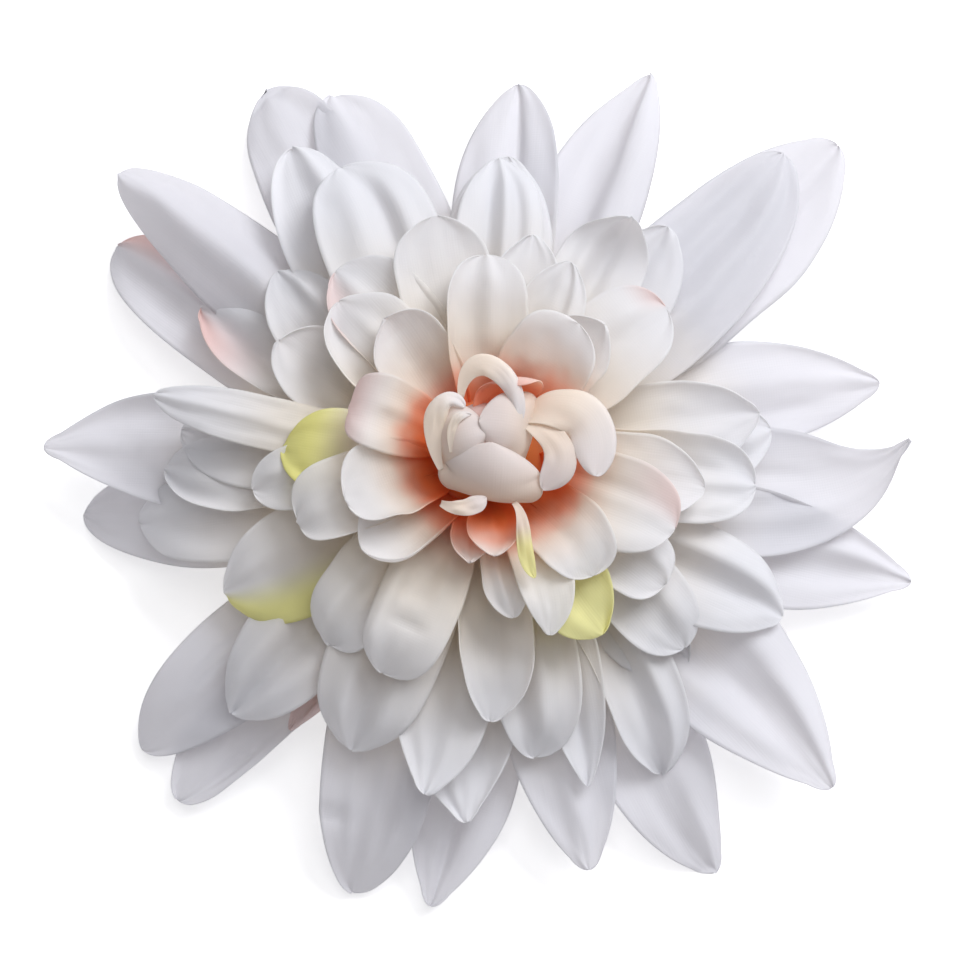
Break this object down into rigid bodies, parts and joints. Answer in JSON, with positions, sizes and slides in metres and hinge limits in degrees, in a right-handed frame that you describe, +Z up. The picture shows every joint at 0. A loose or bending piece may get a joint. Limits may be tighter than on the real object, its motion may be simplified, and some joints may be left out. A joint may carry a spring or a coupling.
{
  "type": "dahlia bloom",
  "caption": "Open white dahlia bloom, layered pointed petals round a closed peach bud, on a green calyx with a cut stalk",
  "frame": {"origin": "the middle of the stalk's flat cut end, which the bloom rests on", "axes": "+Z up through the bud, +X to the right and +Y to the top of the bloom as the picture shows it"},
  "size_m": [0.1481, 0.1463, 0.0487],
  "materials": {
    "petal": "white petal with a fine weave-like grain, coral at its foot, cream inside and cool white outside",
    "bud": "pale peach wrapped petals with white rims",
    "calyx": "matt fresh green bracts and stalk with a paler cut end"
  },
  "bodies": {
    "root": {"bloom": "petal", "bud": "bud", "calyx": "calyx"}
  },
  "joints": []
}
